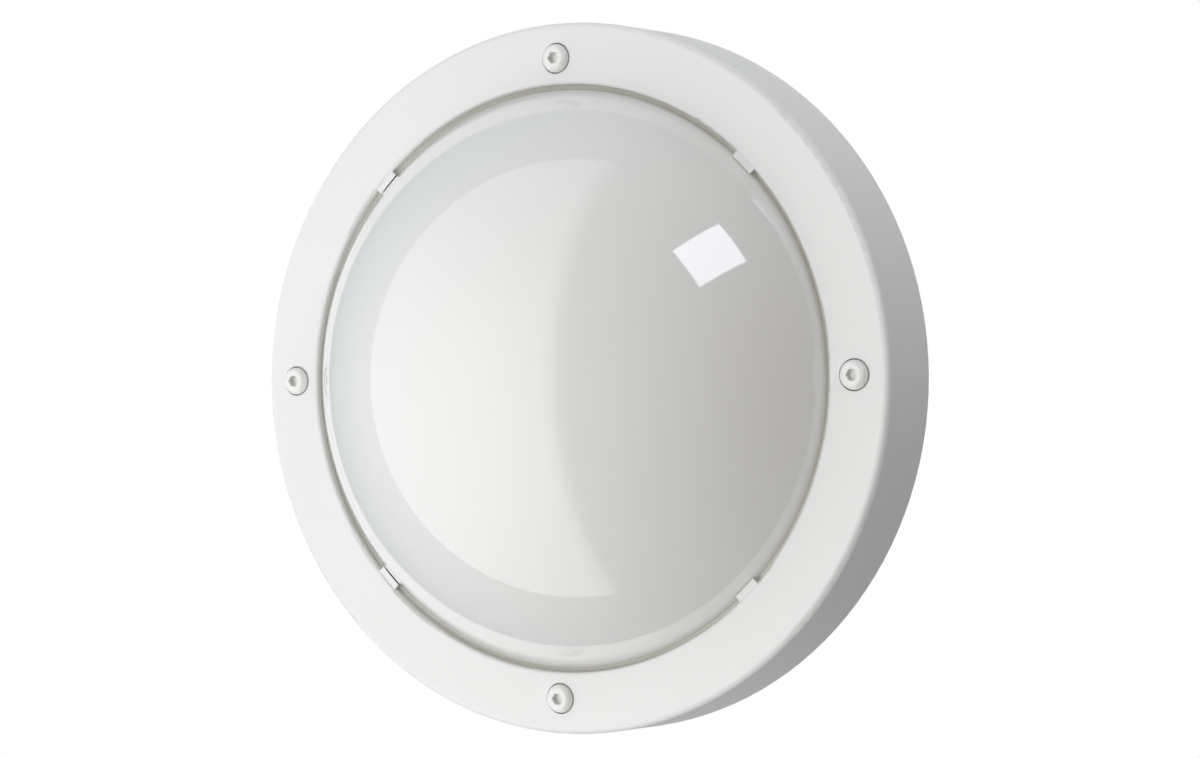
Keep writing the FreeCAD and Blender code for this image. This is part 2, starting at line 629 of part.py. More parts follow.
def make_base_pan():
    """Cast pan: a floor, a rim that carries the sealing channel, and bosses for every fixing."""
    body = new_body("base_pan")
    stem_inner = f"({GASKET_MIDDLE} - rim_wall / 2)"
    stem_outer = f"({GASKET_MIDDLE} + rim_wall / 2)"
    lip_inner = f"({BASE_RADIUS} - edge_lip_wall)"
    section = [("0", "0"), (BASE_RADIUS, "0"), (BASE_RADIUS, "edge_lip_height"),
               (lip_inner, "edge_lip_height"), (lip_inner, "base_wall"), (stem_outer, "base_wall"),
               (stem_outer, CHANNEL_BACK), (f"{CHANNEL_OUTER} + channel_wall", CHANNEL_BACK),
               (f"{CHANNEL_OUTER} + channel_wall", RIM_TOP), (CHANNEL_OUTER, RIM_TOP),
               (CHANNEL_OUTER, GASKET_FLOOR), (CHANNEL_INNER, GASKET_FLOOR), (CHANNEL_INNER, RIM_TOP),
               (f"{CHANNEL_INNER} - channel_wall", RIM_TOP),
               (f"{CHANNEL_INNER} - channel_wall", CHANNEL_BACK),
               (stem_inner, CHANNEL_BACK), (stem_inner, "base_wall"), ("0", "base_wall")]
    turned(body, "pan", section)

    height = f"{BASE_BOSS_TOP} - base_wall"
    boss = post(body, "boss", "0", "screw_circle", "base_wall", "base_boss_radius", height)
    web_start = GASKET_MIDDLE
    web_end = "(screw_circle - screw_radius - boss_drill_floor / 2)"
    web = block(body, "web", "0", f"({web_start} + {web_end}) / 2", "base_wall", "boss_web",
                f"{web_end} - {web_start}", height)
    repeat_round(body, "bosses", [boss, web], COVER_SCREWS)
    hole = drill(body, "screw_hole", "0", "screw_circle", BASE_BOSS_TOP, SCREW_THREAD,
                 f"{BASE_BOSS_TOP} - boss_drill_floor")
    repeat_round(body, "screw_holes", [hole], COVER_SCREWS)

    pillar = post(body, "pillar", PILLAR_CIRCLE, "0", "base_wall", "pillar_radius", "pillar_height",
                  turn="pillar_angle")
    repeat_round(body, "pillars", [pillar], TRAY_SCREWS)
    pillar_hole = drill(body, "pillar_hole", PILLAR_CIRCLE, "0", PILLAR_TOP, MIDDLE_THREAD,
                        "tray_screw_length", turn="pillar_angle")
    repeat_round(body, "pillar_holes", [pillar_hole], TRAY_SCREWS)

    post(body, "earth_boss", "earth_x", "earth_y", "base_wall", "earth_boss_radius",
         f"{EARTH_BOSS_TOP} - base_wall")
    drill(body, "earth_hole", "earth_x", "earth_y", EARTH_BOSS_TOP, MIDDLE_THREAD, "earth_thread")

    raised = flat_sketch(body, "slot_pad_outline", "base_wall")
    all_slots(raised, "slot_pad_margin")
    pad(body, "slot_pads", raised, "slot_pad_height")
    slots = flat_sketch(body, "slot_outline", "base_wall + slot_pad_height")
    all_slots(slots, "0")
    pocket(body, "slots", slots, "base_wall + slot_pad_height")

    entries = flat_sketch(body, "entry_outline", "base_wall")
    recesses = flat_sketch(body, "entry_recess_outline")
    for x in ("-entry_x", "entry_x"):
        circle(entries, x, "entry_y", "entry_radius")
        circle(recesses, x, "entry_y", "entry_recess_radius")
    pocket(body, "entries", entries, "base_wall")
    pocket(body, "entry_recesses", recesses, "entry_recess_depth", outwards=True)

    groove = flat_sketch(body, "back_groove_outline")
    circle(groove, "0", "0", "back_seal_radius + back_seal_width / 2")
    circle(groove, "0", "0", "back_seal_radius - back_seal_width / 2")
    pocket(body, "back_groove", groove, "back_seal_depth", outwards=True)

    fixings = flat_sketch(body, "fixing_outline", "base_wall")
    for sign in (-1, 1):
        circle(fixings, f"{sign} * ({TERMINAL_FIXING})", "terminal_y", SMALL_THREAD)
        circle(fixings, f"driver_x + {sign} * ({DRIVER_FIXING})",
               f"driver_y - {sign} * driver_ear_offset", SMALL_THREAD)
    pocket(body, "fixing_holes", fixings, "blind_depth")


def seal_ring(name, middle, width, bottom, height):
    body = new_body(name)
    inner = f"{middle} - ({width}) / 2"
    outer = f"{middle} + ({width}) / 2"
    top = f"{bottom} + {height}"
    turned(body, "ring", [(inner, bottom), (outer, bottom), (outer, top), (inner, top)])


def make_slot_seals():
    """Rubber washers on the pads of the wall-fixing slots."""
    body = new_body("slot_seals")
    outline = flat_sketch(body, "seal_outline", "base_wall + slot_pad_height")
    all_slots(outline, "slot_seal_margin")
    all_slots(outline, "0")
    pad(body, "seals", outline, "slot_seal_thickness")


def grommet_outside():
    """The half section that both grommets share, from the back to the inner flange."""
    neck = "entry_radius - grommet_clearance"
    back = "entry_recess_radius - grommet_clearance"
    return [(back, "0"), (back, "entry_recess_depth"), (neck, "entry_recess_depth"),
            (neck, "base_wall"), ("grommet_flange", "base_wall"),
            ("grommet_flange", "base_wall + grommet_flange_thickness")]


def make_grommets():
    """Rubber grommets: one open for the supply cable, one closed by a thin wall."""
    flange_top = "base_wall + grommet_flange_thickness"
    nose_top = f"{flange_top} + grommet_nose"
    open_one = new_body("cable_grommet", "-entry_x", "entry_y")
    nose = [("cable_bore_radius + 2 * grommet_wall", flange_top),
            ("cable_bore_radius + grommet_wall", nose_top), ("cable_bore_radius", nose_top)]
    turned(open_one, "grommet", [("cable_bore_radius", "0")] + grommet_outside() + nose)
    closed_one = new_body("blanking_grommet", "entry_x", "entry_y")
    skin = [("0", flange_top), ("0", "base_wall"), ("cable_bore_radius", "base_wall")]
    turned(closed_one, "grommet", [("cable_bore_radius", "0")] + grommet_outside() + skin)


# ---------------------------------------------------------------- mains terminals and earth

BLOCK_HALF = "(pole_pitch + terminal_end)"
TERMINAL_FIXING = f"({BLOCK_HALF} + terminal_ear / 2)"
DRIVER_FIXING = "(driver_length / 2 + driver_ear / 2)"
CONTACT_TOP = f"({WIRE_HEIGHT} + contact_side / 2 + contact_clearance)"


def make_terminal_block():
    """Moulded block with three through cavities and a shaft over each clamping screw."""
    body = new_body("terminal_block", "0", "terminal_y")
    block(body, "housing", "0", "0", "base_wall", f"2 * {BLOCK_HALF}", "terminal_depth", "terminal_height")
    block(body, "ears", "0", "0", "base_wall", f"2 * ({BLOCK_HALF} + terminal_ear)",
          "2 * terminal_ear", "terminal_ear_thickness")
    cavities = side_sketch(body, "cavity_outline", y="terminal_depth / 2 + contact_clearance")
    for pole in (-1, 0, 1):
        rectangle(cavities, f"{pole} * pole_pitch", WIRE_HEIGHT, "contact_side + 2 * contact_clearance",
                  "contact_side + 2 * contact_clearance")
    pocket(body, "cavities", cavities, "terminal_depth + 2 * contact_clearance", outwards=True)
    top = "base_wall + terminal_height"
    shafts = flat_sketch(body, "shaft_outline", top)
    for pole in (-1, 0, 1):
        for sign in (-1, 1):
            circle(shafts, f"{pole} * pole_pitch", f"{sign} * clamp_spacing / 2", "clamp_head_radius + contact_clearance")
    pocket(body, "shafts", shafts, f"{top} - {CONTACT_TOP}")
    for sign in (-1, 1):
        drill(body, "ear_hole", f"{sign} * {TERMINAL_FIXING}", "0",
              "base_wall + terminal_ear_thickness", SMALL_THREAD, "terminal_ear_thickness")


def make_terminal_contacts():
    """Three square brass bars, bored along for the wires and tapped for their clamping screws."""
    body = new_body("terminal_contacts", "0", "terminal_y")
    bottom = f"{WIRE_HEIGHT} - contact_side / 2"
    outline = flat_sketch(body, "bar_outline", bottom)
    bores = side_sketch(body, "bore_outline", y="contact_length / 2 + contact_clearance")
    taps = flat_sketch(body, "tap_outline", f"{bottom} + contact_side")
    for pole in (-1, 0, 1):
        rectangle(outline, f"{pole} * pole_pitch", "0", "contact_side", "contact_length")
        circle(bores, f"{pole} * pole_pitch", WIRE_HEIGHT, "contact_bore_radius")
        for sign in (-1, 1):
            circle(taps, f"{pole} * pole_pitch", f"{sign} * clamp_spacing / 2",
                   "clamp_screw_radius + thread_clearance")
    pad(body, "bars", outline, "contact_side")
    pocket(body, "bores", bores, "contact_length + 2 * contact_clearance", outwards=True)
    pocket(body, "taps", taps, "contact_side / 2")


def make_terminal_screws():
    """Two clamping screws over each pole."""
    body = new_body("terminal_screws", "0", "terminal_y")
    tip = f"{WIRE_HEIGHT} + mains_wire_radius + wire_end_gap"
    seat = f"{CONTACT_TOP} + clamp_head_height"
    screws = []
    for sign in (-1, 1):
        screws.append(pan_head_screw(body, "clamp_screw", seat, f"{seat} - ({tip})", "clamp_screw_radius",
                                     "clamp_head_radius", "clamp_head_height", "-pole_pitch",
                                     f"{sign} * clamp_spacing / 2"))
    repeat_along(body, "screws", screws, "2 * pole_pitch", 3)


def make_terminal_fixings():
    body = new_body("terminal_fixings", "0", "terminal_y")
    screw = pan_head_screw(body, "fixing", "base_wall + terminal_ear_thickness",
                           "terminal_ear_thickness + blind_depth", "small_screw_radius",
                           "small_head_radius", "small_head_height", TERMINAL_FIXING)
    repeat_round(body, "fixings", [screw], 2)


def make_earth_tag():
    """Ring tag: a flat ring on the boss, a neck, and a barrel crimped on the earth lead."""
    body = new_body("earth_tag", "earth_x", "earth_y")
    post(body, "ring", "0", "0", EARTH_BOSS_TOP, "tag_radius", "tag_thickness")
    block(body, "neck", "-tag_barrel_start * 0.75", "0", EARTH_BOSS_TOP, "tag_barrel_start * 0.5 + tag_thickness",
          "2 * tag_barrel_radius", "tag_thickness")
    outline = body.newObject("Sketcher::SketchObject", "barrel_outline")
    outline.AttachmentSupport = [(origin_feature(body, "YZ_Plane"), "")]
    outline.MapMode = "FlatFace"
    outline.setExpression("AttachmentOffset.Base.z", cells("-tag_barrel_start - tag_barrel_length"))
    circle(outline, "0", WIRE_HEIGHT, "tag_barrel_radius")
    pad(body, "barrel", outline, "tag_barrel_length")
    bore = body.newObject("Sketcher::SketchObject", "barrel_bore_outline")
    bore.AttachmentSupport = [(origin_feature(body, "YZ_Plane"), "")]
    bore.MapMode = "FlatFace"
    bore.setExpression("AttachmentOffset.Base.z", cells("-tag_barrel_start - tag_barrel_length"))
    circle(bore, "0", WIRE_HEIGHT, "mains_wire_radius + thread_clearance")
    pocket(body, "barrel_bore", bore, "tag_barrel_length * 0.9", outwards=True)
    drill(body, "eye", "0", "0", f"{EARTH_BOSS_TOP} + tag_thickness", MIDDLE_THREAD, "tag_thickness")


def make_earth_washer():
    body = new_body("earth_washer", "earth_x", "earth_y")
    bottom = f"{EARTH_BOSS_TOP} + tag_thickness"
    top = f"{bottom} + tag_thickness"
    turned(body, "washer", [(MIDDLE_THREAD, bottom), ("tag_radius", bottom), ("tag_radius", top),
                            (MIDDLE_THREAD, top)])


def make_earth_screw():
    body = new_body("earth_screw", "earth_x", "earth_y")
    pan_head_screw(body, "screw", f"{EARTH_BOSS_TOP} + 2 * tag_thickness", "earth_thread + 2 * tag_thickness",
                   "middle_screw_radius", "middle_head_radius", "middle_head_height")


# ---------------------------------------------------------------- the driver

INNER_LENGTH = "(driver_length - 2 * driver_wall)"
INNER_WIDTH = "(driver_width - 2 * driver_wall)"


def lead_holes(body, name, radius, spacing, sign):
    """Two holes through one end wall of the driver's case."""
    outline = body.newObject("Sketcher::SketchObject", f"{name}_outline")
    outline.AttachmentSupport = [(origin_feature(body, "YZ_Plane"), "")]
    outline.MapMode = "FlatFace"
    outline.setExpression("AttachmentOffset.Base.z", cells(f"{sign} * (driver_length / 2 - 2 * driver_wall)"))
    for side in (-1, 1):
        circle(outline, f"{side} * {spacing} / 2", WIRE_HEIGHT, f"{radius} + lead_hole_clearance")
    pocket(body, name, outline, "3 * driver_wall", outwards=sign > 0)


def make_driver_case():
    """Lower shell of the driver: an open tray with two diagonal ears and posts for the board."""
    body = new_body("driver_case", "driver_x", "driver_y")
    block(body, "shell", "0", "0", "base_wall", "driver_length", "driver_width", "driver_split")
    inside = flat_sketch(body, "inside_outline", DRIVER_SPLIT)
    rectangle(inside, "0", "0", INNER_LENGTH, INNER_WIDTH)
    pocket(body, "inside", inside, "driver_split - driver_wall")
    ear = block(body, "ear", "driver_length / 2 + driver_ear / 2 - driver_wall / 4", "-driver_ear_offset",
                "base_wall", "driver_ear + driver_wall / 2", "driver_ear_width", "driver_ear_thickness")
    eye = drill(body, "ear_hole", DRIVER_FIXING, "-driver_ear_offset", "base_wall + driver_ear_thickness",
                SMALL_THREAD, "driver_ear_thickness")
    repeat_round(body, "ears", [ear, eye], 2)
    posts = flat_sketch(body, "post_outline", "base_wall + driver_wall / 2")
    for x in (-1, 1):
        for y in (-1, 1):
            circle(posts, f"{x} * {INNER_LENGTH} * 0.4", f"{y} * {INNER_WIDTH} * 0.35", "board_thickness")
    pad(body, "posts", posts, "board_stand + driver_wall / 2")
    lead_holes(body, "mains_holes", "mains_wire_radius", "mains_wire_spacing", -1)
    lead_holes(body, "led_holes", "led_wire_radius", "led_wire_spacing", 1)


def make_driver_cover():
    """Upper shell of the driver, snapped on the lower one edge to edge."""
    body = new_body("driver_cover", "driver_x", "driver_y")
    block(body, "shell", "0", "0", DRIVER_SPLIT, "driver_length", "driver_width", "driver_height - driver_split")
    inside = flat_sketch(body, "inside_outline", DRIVER_SPLIT)
    rectangle(inside, "0", "0", INNER_LENGTH, INNER_WIDTH)
    pocket(body, "inside", inside, "driver_height - driver_split - driver_wall", outwards=True)


def make_driver_board():
    body = new_body("driver_board", "driver_x", "driver_y")
    block(body, "board", "0", "0", DRIVER_BOARD_BACK, f"{INNER_LENGTH} - 2 * board_side_gap",
          f"{INNER_WIDTH} - 2 * board_side_gap", "board_thickness")


TERMINAL_FACE = "(driver_length / 2 - 2.5 * driver_wall)"
COMPONENT_ROOM = f"(base_wall + driver_height - driver_wall - {DRIVER_BOARD_TOP})"


def make_driver_components():
    """What stands on the driver's board: terminals, choke, transformer, chip and capacitors."""
    body = new_body("driver_components", "driver_x", "driver_y")
    terminal_height = f"2 * ({WIRE_HEIGHT} - {DRIVER_BOARD_TOP}) + driver_wall"
    for sign in (-1, 1):
        block(body, "terminal", f"{sign} * ({TERMINAL_FACE} - driver_terminal_length / 2)", "0",
              DRIVER_BOARD_TOP, "driver_terminal_length", f"{INNER_WIDTH} * 0.45", terminal_height)
    block(body, "choke", f"-{INNER_LENGTH} * 0.27", f"-{INNER_WIDTH} * 0.2", DRIVER_BOARD_TOP,
          f"{INNER_LENGTH} * 0.12", f"{INNER_WIDTH} * 0.36", f"{COMPONENT_ROOM} * 0.7")
    block(body, "transformer", "0", "0", DRIVER_BOARD_TOP, f"{INNER_LENGTH} * 0.23",
          f"{INNER_WIDTH} * 0.7", f"{COMPONENT_ROOM} * 0.85")
    block(body, "chip", f"{INNER_LENGTH} * 0.2", f"{INNER_WIDTH} * 0.3", DRIVER_BOARD_TOP,
          f"{INNER_LENGTH} * 0.08", f"{INNER_WIDTH} * 0.2", f"{COMPONENT_ROOM} * 0.15")
    post(body, "smoothing_capacitor", f"-{INNER_LENGTH} * 0.26", f"{INNER_WIDTH} * 0.24",
         DRIVER_BOARD_TOP, f"{INNER_WIDTH} * 0.15", f"{COMPONENT_ROOM} * 0.9")
    post(body, "output_capacitor", f"{INNER_LENGTH} * 0.24", f"-{INNER_WIDTH} * 0.2",
         DRIVER_BOARD_TOP, f"{INNER_WIDTH} * 0.13", f"{COMPONENT_ROOM} * 0.8")


def make_driver_screws():
    body = new_body("driver_screws", "driver_x", "driver_y")
    screw = pan_head_screw(body, "fixing", "base_wall + driver_ear_thickness",
                           "driver_ear_thickness + blind_depth", "small_screw_radius",
                           "small_head_radius", "small_head_height", DRIVER_FIXING, "-driver_ear_offset")
    repeat_round(body, "fixings", [screw], 2)


# ---------------------------------------------------------------- the gear tray and the LED board

def make_gear_tray():
    """Pressed steel tray over the driver, with its edge turned back."""
    body = new_body("gear_tray")
    rim_inner = f"({TRAY_RADIUS} - tray_thickness)"
    rim_back = f"({PILLAR_TOP} - tray_rim_drop)"
    turned(body, "tray", [("0", PILLAR_TOP), (rim_inner, PILLAR_TOP), (rim_inner, rim_back),
                          (TRAY_RADIUS, rim_back), (TRAY_RADIUS, TRAY_TOP), ("0", TRAY_TOP)])
    hole = drill(body, "pillar_hole", PILLAR_CIRCLE, "0", TRAY_TOP, MIDDLE_THREAD, "tray_thickness",
                 turn="pillar_angle")
    repeat_round(body, "pillar_holes", [hole], TRAY_SCREWS)
    board_hole = drill(body, "board_hole", "0", "board_screw_circle", TRAY_TOP, SMALL_THREAD, "tray_thickness")
    repeat_round(body, "board_holes", [board_hole], TRAY_SCREWS)
    drill(body, "bush_hole", "0", "bush_y", TRAY_TOP, "bush_hole_radius", "tray_thickness")


def make_tray_screws():
    body = new_body("tray_screws")
    screw = pan_head_screw(body, "screw", TRAY_TOP, "tray_screw_length", "middle_screw_radius",
                           "middle_head_radius", "middle_head_height",
                           f"{PILLAR_CIRCLE} * cos(pillar_angle)", f"{PILLAR_CIRCLE} * sin(pillar_angle)")
    repeat_round(body, "screws", [screw], TRAY_SCREWS)


def round_sheet(name, radius, bottom, thickness):
    """A disc on the tray with holes for the board's screws and round the bush."""
    body = new_body(name)
    post(body, "disc", "0", "0", bottom, radius, thickness)
    hole = drill(body, "screw_hole", "0", "board_screw_circle", f"{bottom} + {thickness}",
                 SMALL_THREAD, thickness)
    repeat_round(body, "screw_holes", [hole], TRAY_SCREWS)
    drill(body, "bush_hole", "0", "bush_y", f"{bottom} + {thickness}", "board_hole_radius", thickness)


def make_led_chips():
    """Square LEDs in two rings."""
    body = new_body("led_chips")
    for name, radius, count in (("inner", "inner_chip_circle", INNER_CHIPS),
                                ("outer", "outer_chip_circle", OUTER_CHIPS)):
        chip = block(body, f"{name}_chip", radius, "0", BOARD_TOP, "chip_side", "chip_side", "chip_height")
        repeat_round(body, f"{name}_chips", [chip], count)


def make_led_board_screws():
    body = new_body("led_board_screws")
    screw = pan_head_screw(body, "screw", BOARD_TOP, "board_screw_length", "small_screw_radius",
                           "small_head_radius", "small_head_height", "0", "board_screw_circle")
    repeat_round(body, "screws", [screw], TRAY_SCREWS)


def make_led_connector():
    """Two-way socket on the board. The leads go into the end that faces the bush."""
    body = new_body("led_connector", "connector_x", "bush_y")
    block(body, "housing", "0", "0", BOARD_TOP, "connector_length", "connector_width", "connector_height")
    outline = body.newObject("Sketcher::SketchObject", "wire_hole_outline")
    outline.AttachmentSupport = [(origin_feature(body, "YZ_Plane"), "")]
    outline.MapMode = "FlatFace"
    outline.setExpression("AttachmentOffset.Base.z", cells("connector_length / 2"))
    for side in (-1, 1):
        circle(outline, f"{side} * led_wire_spacing / 2", CONNECTOR_WIRE, "led_wire_radius + lead_hole_clearance")
    pocket(body, "wire_holes", outline, "connector_hole_depth")


def make_lead_bush():
    """Rubber bush that lets the leads through the tray."""
    body = new_body("lead_bush", "0", "bush_y")
    back = f"({PILLAR_TOP} - bush_flange_thickness)"
    front = f"({TRAY_TOP} + bush_flange_thickness)"
    neck = "bush_hole_radius - grommet_clearance"
    turned(body, "bush", [("bush_bore_radius", back), ("bush_flange_radius", back),
                          ("bush_flange_radius", PILLAR_TOP), (neck, PILLAR_TOP), (neck, TRAY_TOP),
                          ("bush_flange_radius", TRAY_TOP), ("bush_flange_radius", front),
                          ("bush_bore_radius", front)])


# ---------------------------------------------------------------- the leads

BEND_SHARE = 0.45


def lead_path(points):
    """Straight runs joined by tangent arcs. Each arc takes up to 0.45 of its shorter run."""
    edges = []
    bends = []
    start = points[0]
    for before, corner, after in zip(points, points[1:], points[2:]):
        arriving = (corner - before).normalize()
        leaving = (after - corner).normalize()
        reach = BEND_SHARE * min((corner - before).Length, (after - corner).Length)
        half_turn = arriving.getAngle(leaving) / 2
        bends.append(reach / math.tan(half_turn))
        arc_start = corner - arriving * reach
        arc_end = corner + leaving * reach
        inwards = (leaving - arriving).normalize()
        centre = corner + inwards * (bends[-1] / math.cos(half_turn))
        middle = centre - inwards * bends[-1]
        edges.append(Part.LineSegment(start, arc_start).toShape())
        edges.append(Part.Arc(arc_start, middle, arc_end).toShape())
        start = arc_end
    edges.append(Part.LineSegment(start, points[-1]).toShape())
    return Part.Wire(edges), bends


def make_lead(name, route, radius):
    """A round lead along the route's corners."""
    points = [Vector(*[amount(text) for text in corner]) for corner in route]
    path, bends = lead_path(points)
    section = Part.Wire(Part.makeCircle(amount(radius), points[0], points[1] - points[0]))
    lead = doc.addObject("Part::Feature", name)
    lead.Label = name
    lead.Shape = path.makePipeShell([section], True, False)
    stand_up(lead)
    share = lead.Shape.Volume / (math.pi * amount(radius) ** 2 * path.Length)
    print(f"{name}: {path.Length:.1f} mm long, bends {[round(bend, 1) for bend in bends]}, volume {share:.4f}")


def make_mains_leads():
    """Live, neutral and earth leads from the terminal block."""
    start = "terminal_y - clamp_reach"
    case_end = f"driver_x - {TERMINAL_FACE}"
    live_offset = "mains_wire_spacing"
    leads = {"live_lead": ("-pole_pitch", "-1", f"mains_lead_y + {live_offset}", f"mains_lead_x - {live_offset}"),
             "neutral_lead": ("0", "1", "mains_lead_y", "mains_lead_x")}
    for name, (pole, side, across, down) in leads.items():
        entry = f"driver_y + {side} * mains_wire_spacing / 2"
        make_lead(name, [(pole, start, WIRE_HEIGHT), (pole, across, WIRE_HEIGHT), (down, across, WIRE_HEIGHT),
                         (down, entry, WIRE_HEIGHT), (case_end, entry, WIRE_HEIGHT)], "mains_wire_radius")
    tag_end = "earth_x - tag_barrel_start - tag_reach"
    make_lead("earth_lead", [("pole_pitch", start, WIRE_HEIGHT), ("pole_pitch", "earth_y", WIRE_HEIGHT),
                             (tag_end, "earth_y", WIRE_HEIGHT)], "mains_wire_radius")


def make_led_leads():
    """Positive and negative leads from the driver through the bush to the LED board."""
    case_end = f"driver_x + {TERMINAL_FACE}"
    socket = "connector_x + connector_length / 2 - connector_hole_depth * 0.9"
    for name, side, out in (("led_positive_lead", "1", "led_lead_x"),
                            ("led_negative_lead", "-1", "led_lead_x - led_wire_spacing")):
        start = f"driver_y - {side} * led_wire_spacing / 2"
        back = f"bush_y + {side} * led_wire_spacing / 2"
        low = f"{PILLAR_TOP} - pillar_height / 2"
        make_lead(name, [(case_end, start, WIRE_HEIGHT), (out, start, WIRE_HEIGHT), (out, back, WIRE_HEIGHT),
                         ("0", back, low), ("0", back, CONNECTOR_WIRE), (socket, back, CONNECTOR_WIRE)],
                  "led_wire_radius")


# ---------------------------------------------------------------- the whole light

make_cover_ring()
make_diffuser()
make_diffuser_clips()
make_clip_screws()
for number in range(1, COVER_SCREWS + 1):
    clockwise = f"({number - 1} * 360 / {COVER_SCREWS})"
    screw_x = f"screw_circle * sin({clockwise})"
    screw_y = f"screw_circle * cos({clockwise})"
    make_cover_screw(number, screw_x, screw_y)
    make_seal_washer(number, screw_x, screw_y)
    make_captive_ring(number, screw_x, screw_y)

make_base_pan()
seal_ring("diffuser_gasket", GASKET_MIDDLE, "gasket_width", GASKET_FLOOR, "gasket_height")
seal_ring("back_seal", "back_seal_radius", "back_seal_width - 2 * groove_clearance", "0", "back_seal_depth")
make_slot_seals()
make_grommets()

make_terminal_block()
make_terminal_contacts()
make_terminal_screws()
make_terminal_fixings()
make_earth_tag()
make_earth_washer()
make_earth_screw()

make_driver_case()
make_driver_cover()
make_driver_board()
make_driver_components()
make_driver_screws()

make_gear_tray()
make_tray_screws()
round_sheet("thermal_pad", "board_radius - pad_inset", TRAY_TOP, "pad_thickness")
round_sheet("led_board", "board_radius", BOARD_BACK, "board_thickness")
make_led_chips()
make_led_board_screws()
make_led_connector()
make_lead_bush()
make_mains_leads()
make_led_leads()

doc.recompute()
for thing in doc.Objects:
    if "Invalid" in thing.State or "Error" in thing.State:
        raise RuntimeError(f"{thing.Name} failed: {thing.State}")
for piece in pieces:
    if piece.Shape.isNull() or not piece.Shape.isValid():
        raise RuntimeError(f"{piece.Label} has no valid shape")

os.makedirs("parts", exist_ok=True)
for piece in pieces:
    piece.Shape.exportStep(f"parts/{piece.Label}.step")
    print(f"{piece.Label}: {len(piece.Shape.Solids)} solids, {piece.Shape.Volume / 1000:.2f} cm3")
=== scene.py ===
import bmesh
import bpy
import math
from mathutils import Matrix, Vector


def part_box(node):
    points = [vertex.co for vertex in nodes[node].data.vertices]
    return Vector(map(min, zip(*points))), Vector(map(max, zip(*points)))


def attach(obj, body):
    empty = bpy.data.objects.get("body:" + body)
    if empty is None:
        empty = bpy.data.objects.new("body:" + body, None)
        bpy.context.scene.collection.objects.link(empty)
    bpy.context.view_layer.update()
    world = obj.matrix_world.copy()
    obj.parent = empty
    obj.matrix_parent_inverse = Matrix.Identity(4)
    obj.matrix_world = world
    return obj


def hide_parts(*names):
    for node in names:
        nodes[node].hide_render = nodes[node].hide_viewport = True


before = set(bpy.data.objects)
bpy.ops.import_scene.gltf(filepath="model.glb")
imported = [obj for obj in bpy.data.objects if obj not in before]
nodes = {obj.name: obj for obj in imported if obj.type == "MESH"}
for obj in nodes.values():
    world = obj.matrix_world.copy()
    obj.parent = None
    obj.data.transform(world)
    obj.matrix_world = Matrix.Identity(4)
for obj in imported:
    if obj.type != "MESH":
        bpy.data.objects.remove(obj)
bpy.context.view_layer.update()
MM = 0.001


# ---------------------------------------------------------------- camera
# The light is seen from the right, level with its middle, through a long lens. The camera's place
# is given from the middle of the ring's front face.
PHOTO_WIDTH = 1200
FOCAL_PIXELS = 2493.3
CAMERA_YAW = math.radians(28.868)
CAMERA_PITCH = math.radians(0.40)
CAMERA_ROLL = math.radians(-0.41)
CAMERA_FROM_FACE = Vector((453.8, -791.4, -6.8)) * MM
SENSOR_MM = 36.0
NEAREST_SEEN = 0.01

ring_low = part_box("cover_ring")[0]
FACE_Y = ring_low[1]
camera_data = bpy.data.cameras.new("photo_camera")
camera_data.sensor_width = SENSOR_MM
camera_data.lens = FOCAL_PIXELS / PHOTO_WIDTH * SENSOR_MM
camera_data.clip_start = NEAREST_SEEN
camera = bpy.data.objects.new("photo_camera", camera_data)
right, forward, up = (Matrix.Rotation(CAMERA_ROLL, 3, "Y") @ Matrix.Rotation(-CAMERA_PITCH, 3, "X")
                      @ Matrix.Rotation(-CAMERA_YAW, 3, "Z"))
camera.matrix_world = Matrix((
    (right[0], up[0], -forward[0], CAMERA_FROM_FACE[0]),
    (right[1], up[1], -forward[1], CAMERA_FROM_FACE[1] + FACE_Y),
    (right[2], up[2], -forward[2], CAMERA_FROM_FACE[2]),
    (0, 0, 0, 1)))
bpy.context.scene.collection.objects.link(camera)
bpy.context.scene.camera = camera
bpy.context.scene.view_settings.view_transform = "Standard"


# ---------------------------------------------------------------- dome
# The diffuser is one thick shell of milk-white opal polycarbonate, injection moulded with a
# polished outside. Its flat flange lies behind the ring and is held there by four clips.
OPENING_RADIUS = 107.6
DOME_GAP = 3.2
DOME_MOUTH = (OPENING_RADIUS - DOME_GAP) * MM
DOME_WALL = 2.5 * MM
FLANGE_THICKNESS = 3.0 * MM
DOME_STEPS = 72
DOME_TURN_STEPS = 256
MERGE_DISTANCE = 1e-6
DOME_SHARP_ANGLE = 30
OPAL_DEEP = "E3E3E1"
OPAL_CLEAR = "E6E6E4"
PATCH_DETAIL = 3.0
GRAIN_DETAIL = 4.0
GLOSS_SPREAD = 0.15
# The Mix node's sockets go by their places, because several share a name.
FIRST_NUMBER = 2
SECOND_NUMBER = 3
FIRST_COLOUR = 6
SECOND_COLOUR = 7
MIXED_COLOUR = 2


def linear(hex_colour):
    """A linear colour from an sRGB hex value."""
    channels = [int(hex_colour[index:index + 2], 16) / 255 for index in (0, 2, 4)]
    return [c / 12.92 if c <= 0.04045 else ((c + 0.055) / 1.055) ** 2.4 for c in channels] + [1.0]


def add_node(tree, kind, settings=None, inputs=None):
    """A node with its settings, and its inputs set to values or linked to sockets."""
    node = tree.nodes.new(kind)
    for name, value in (settings or {}).items():
        setattr(node, name, value)
    for socket, value in (inputs or {}).items():
        if isinstance(value, bpy.types.NodeSocket):
            tree.links.new(value, node.inputs[socket])
        else:
            node.inputs[socket].default_value = value
    return node


